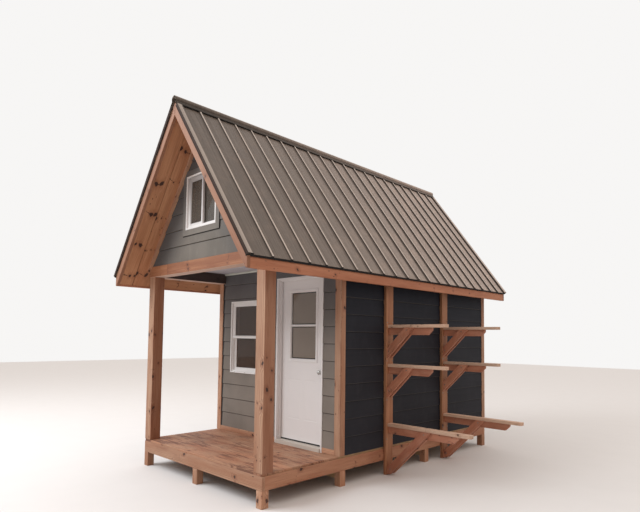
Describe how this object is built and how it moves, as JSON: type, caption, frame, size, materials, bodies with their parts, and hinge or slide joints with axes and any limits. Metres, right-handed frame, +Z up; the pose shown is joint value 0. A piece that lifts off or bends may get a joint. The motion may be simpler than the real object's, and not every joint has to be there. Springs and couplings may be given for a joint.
{
  "type": "boathouse",
  "caption": "Small gabled timber boathouse on stub posts with an open porch, a half-glazed door, a ribbed metal roof and boat racks along one side wall.",
  "frame": {"origin": "on the ground under the middle of the whole footprint, roof and racks included", "axes": "+Z up, the porch and door face -Y, the boat racks stand on the +X side, the ridge runs along Y"},
  "size_m": [3.8356, 5.306, 4.4191],
  "materials": {
    "framing_timber": "sawn softwood, weathered outside",
    "stained_cedar": "oiled cedar, reddish tan with knots",
    "deck_boards": "worn deck boards with damp streaks",
    "floor_boards": "plain floor boards",
    "pale_ceiling": "painted ceiling boards",
    "grey_siding": "warm grey lap siding, matt paint",
    "dark_siding": "dark grey lap siding, matt paint",
    "grey_trim": "grey painted boards",
    "white_vinyl": "white vinyl",
    "window_glass": "clear glass",
    "white_paint": "white painted steel and timber",
    "grey_sill": "mill finish",
    "hinge_steel": "satin",
    "satin_nickel": "satin",
    "roof_sheathing": "sheathing panels",
    "soffit_boards": "stained knotty boards",
    "roof_metal": "grey-brown coated steel",
    "roof_trim_metal": "dark coated steel",
    "red_timber": "red-brown stained planks",
    "pale_timber": "pale weathered planks"
  },
  "bodies": {
    "building": {"support_posts": "framing_timber", "floor_beams": "framing_timber", "end_rim_boards": "stained_cedar", "side_rim_boards": "stained_cedar", "floor_joists": "framing_timber", "porch_deck": "deck_boards", "room_floor": "floor_boards", "front_posts": "stained_cedar", "front_beam": "stained_cedar", "side_beams": "stained_cedar", "porch_ceiling": "pale_ceiling", "front_wall_left": "grey_siding", "front_wall_header": "grey_siding", "front_wall_right": "grey_siding", "side_walls": "dark_siding", "rear_wall": "dark_siding", "gable_wall": "grey_siding", "corner_boards": "stained_cedar", "base_trim": "stained_cedar", "front_window_frame": "white_vinyl", "gable_window_trim": "grey_trim", "gable_window_frame": "white_vinyl", "window_glass": "window_glass", "door_frame": "white_paint", "door_sill": "grey_sill", "door_hinges": "hinge_steel", "ridge_board": "framing_timber", "rafters": "framing_timber", "roof_boarding": "roof_sheathing", "eave_boards": "stained_cedar", "eave_soffits": "soffit_boards", "rake_boards": "stained_cedar", "gable_soffits": "soffit_boards", "roof_battens": "framing_timber", "metal_roofing": "roof_metal", "ridge_cap": "roof_metal", "roof_edge_trims": "roof_trim_metal", "rack_posts": "stained_cedar", "rack_arms": "red_timber", "rack_rests": "pale_timber", "rack_braces": "red_timber"},
    "door": {"door_leaf": "white_paint", "door_hinge_leaves": "hinge_steel", "door_glass_frame": "white_paint", "door_glass": "window_glass", "door_knobs": "satin_nickel"}
  },
  "joints": [
    {"name": "door_hinge", "type": "hinge", "parent": "building", "child": "door", "pos_m": [-0.36117, -1.012, 1.4], "axis": [0, 0, 1], "range_deg": [0, 95]}
  ]
}
